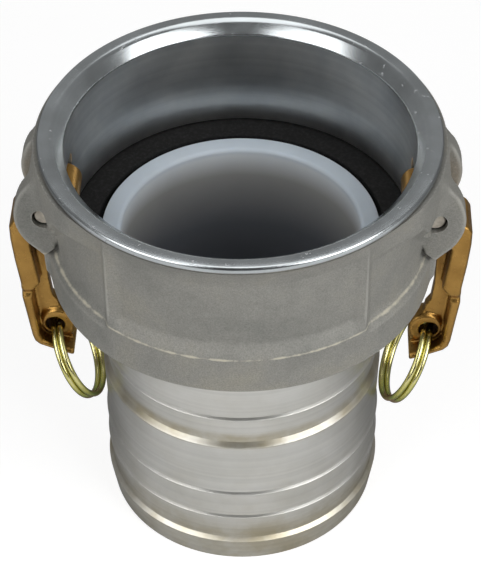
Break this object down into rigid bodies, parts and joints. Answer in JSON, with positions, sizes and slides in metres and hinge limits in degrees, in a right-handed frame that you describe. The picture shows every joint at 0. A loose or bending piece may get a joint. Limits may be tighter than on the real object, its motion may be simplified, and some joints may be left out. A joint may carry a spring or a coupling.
{
  "type": "camlock coupling",
  "caption": "Round cam-and-groove hose coupler: lipped mouth with gasket and liner, cam arms on lug pins with pull rings, and a barbed hose shank.",
  "frame": {"origin": "on the flow axis, at the open end of the hose shank", "axes": "+Z along the flow axis from the hose end to the mouth; the cam arms are at +X and -X and their pins run along Y"},
  "size_m": [0.162, 0.1384, 0.1652],
  "materials": {
    "cast_body": "sand-cast, matt, with a turned lip and bore",
    "turned_shank": "turned, satin bright",
    "gasket_rubber": "matt black",
    "liner_polymer": "translucent white, soft gloss",
    "arm_brass": "cast brass, golden brown",
    "pin_steel": "plain, dull",
    "ring_wire": "yellow zinc plated, shiny"
  },
  "bodies": {
    "coupler": {"coupler_body": "cast_body", "hose_shank": "turned_shank", "mouth_gasket": "gasket_rubber", "flow_liner": "liner_polymer", "left_cam_pin": "pin_steel", "right_cam_pin": "pin_steel"},
    "left_arm": {"left_cam_arm": "arm_brass"},
    "right_arm": {"right_cam_arm": "arm_brass"},
    "left_ring": {"left_pull_ring": "ring_wire"},
    "right_ring": {"right_pull_ring": "ring_wire"}
  },
  "joints": [
    {"name": "left_arm_hinge", "type": "hinge", "parent": "coupler", "child": "left_arm", "pos_m": [-0.067, 0, 0.1392], "axis": [0, 1, 0], "range_deg": [0, 90]},
    {"name": "right_arm_hinge", "type": "hinge", "parent": "coupler", "child": "right_arm", "pos_m": [0.067, 0, 0.1392], "axis": [0, -1, 0], "range_deg": [0, 90]},
    {"name": "left_ring_swing", "type": "hinge", "parent": "left_arm", "child": "left_ring", "pos_m": [-0.0681, 0, 0.0753], "axis": [0, 1, 0], "range_deg": [0, 120]},
    {"name": "right_ring_swing", "type": "hinge", "parent": "right_arm", "child": "right_ring", "pos_m": [0.0681, 0, 0.0753], "axis": [0, -1, 0], "range_deg": [0, 120]}
  ]
}
